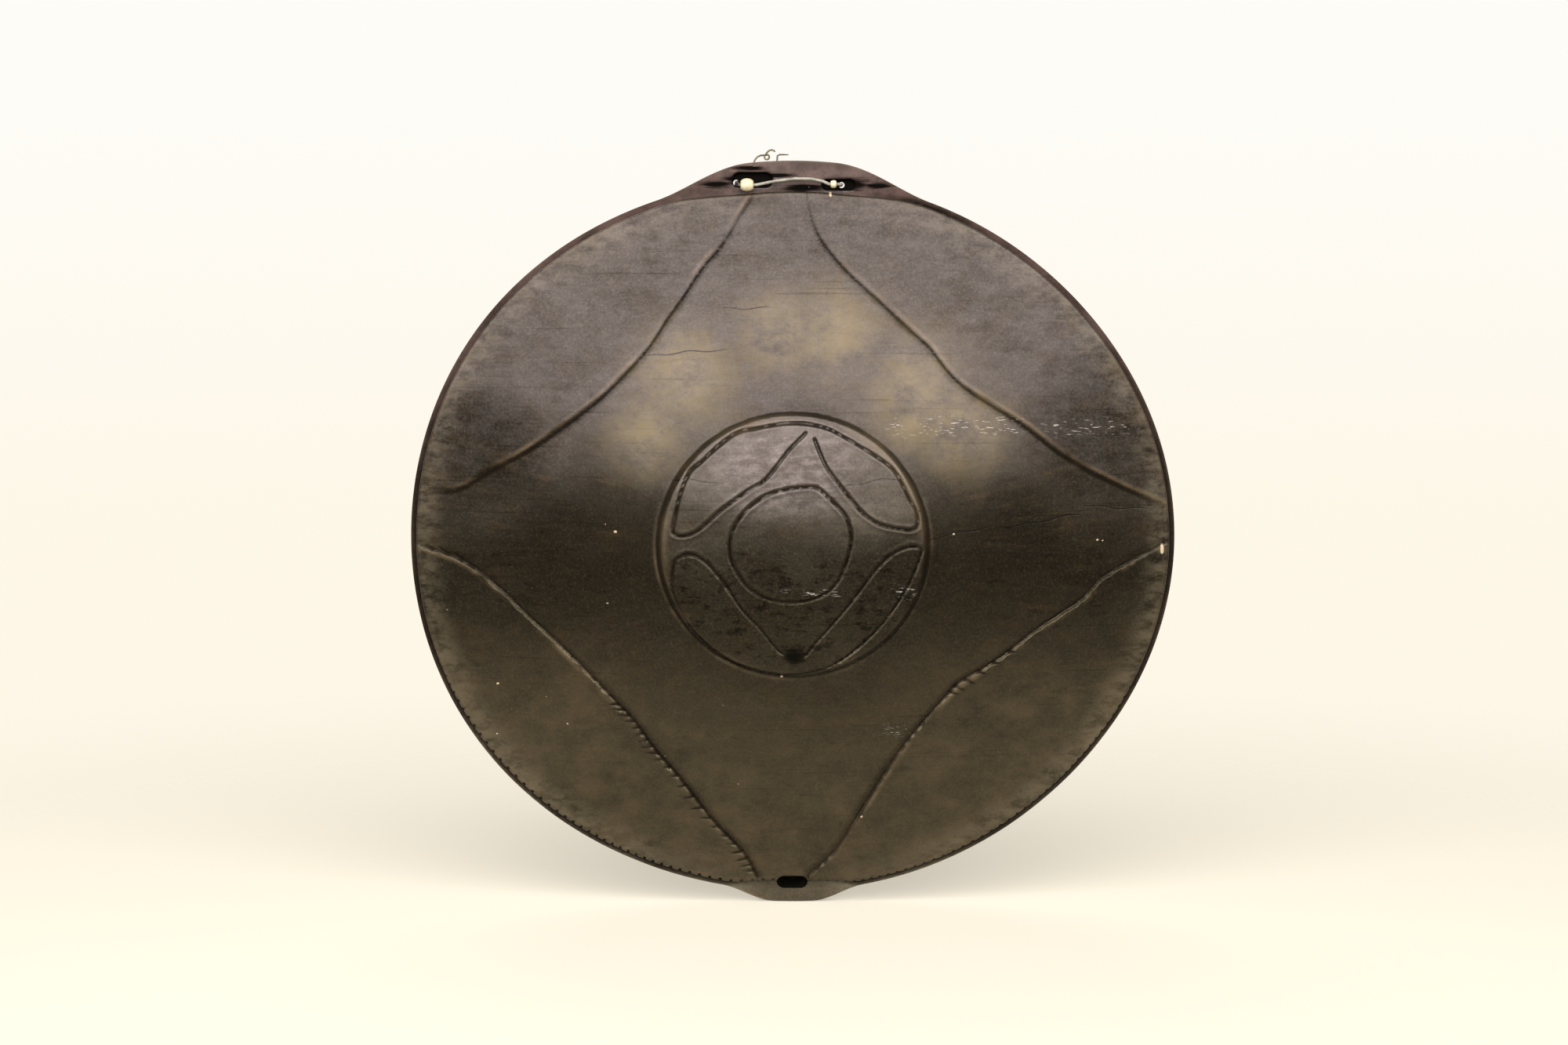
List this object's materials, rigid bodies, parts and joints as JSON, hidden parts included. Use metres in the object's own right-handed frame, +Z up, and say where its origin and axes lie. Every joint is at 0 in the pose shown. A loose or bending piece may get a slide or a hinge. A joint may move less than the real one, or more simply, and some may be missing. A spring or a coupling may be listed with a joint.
{
  "type": "carved wooden shield",
  "caption": "Round bell-shaped shield carved from one block of blackened wood, with boss, carved seams, rear grip bar lashed to lugs, and hanging wire with beads.",
  "frame": {"origin": "on the flat back of the top lip, at the shield's middle, where the shield touches a wall", "axes": "+Z up, +Y out of the shield's back towards the wall, so the face looks along -Y, and +X is to the right as seen from the front"},
  "size_m": [0.56, 0.104, 0.5531],
  "materials": {
    "blackened_wood": "blackened and polished by handling, satin",
    "grip_wood": "brown hardwood, hand polished",
    "rawhide": "dry twisted rawhide, satin",
    "pale_wire": "pale grey coated wire, dull",
    "cream_bead": "cream opaque bead, soft gloss",
    "dark_iron": "thin dark oxidised iron wire"
  },
  "bodies": {
    "shield": {"shield_body": "blackened_wood", "grip_bar": "grip_wood", "grip_lashing_left": "rawhide", "grip_lashing_right": "rawhide"},
    "wire": {"hanging_wire": "pale_wire"},
    "eye": {"eye_wire": "dark_iron"},
    "left_bead": {"stop_bead_left": "cream_bead"},
    "right_bead": {"stop_bead_right": "cream_bead"}
  },
  "joints": [
    {"name": "wire_swing", "type": "hinge", "parent": "shield", "child": "wire", "pos_m": [0, -0.0105, -0.0125], "axis": [-1, 0, 0], "range_deg": [0, 20]},
    {"name": "eye_swing", "type": "hinge", "parent": "wire", "child": "eye", "pos_m": [-0.02, -0.0042, -0.0108], "axis": [-1, 0, 0], "range_deg": [0, 110]},
    {"name": "left_bead_spin", "type": "hinge", "parent": "wire", "child": "left_bead", "pos_m": [-0.0332, -0.0236, -0.014], "axis": [1, 0, 0], "continuous": true},
    {"name": "right_bead_spin", "type": "hinge", "parent": "wire", "child": "right_bead", "pos_m": [0.0294, -0.0236, -0.0135], "axis": [1, 0, 0], "continuous": true}
  ]
}
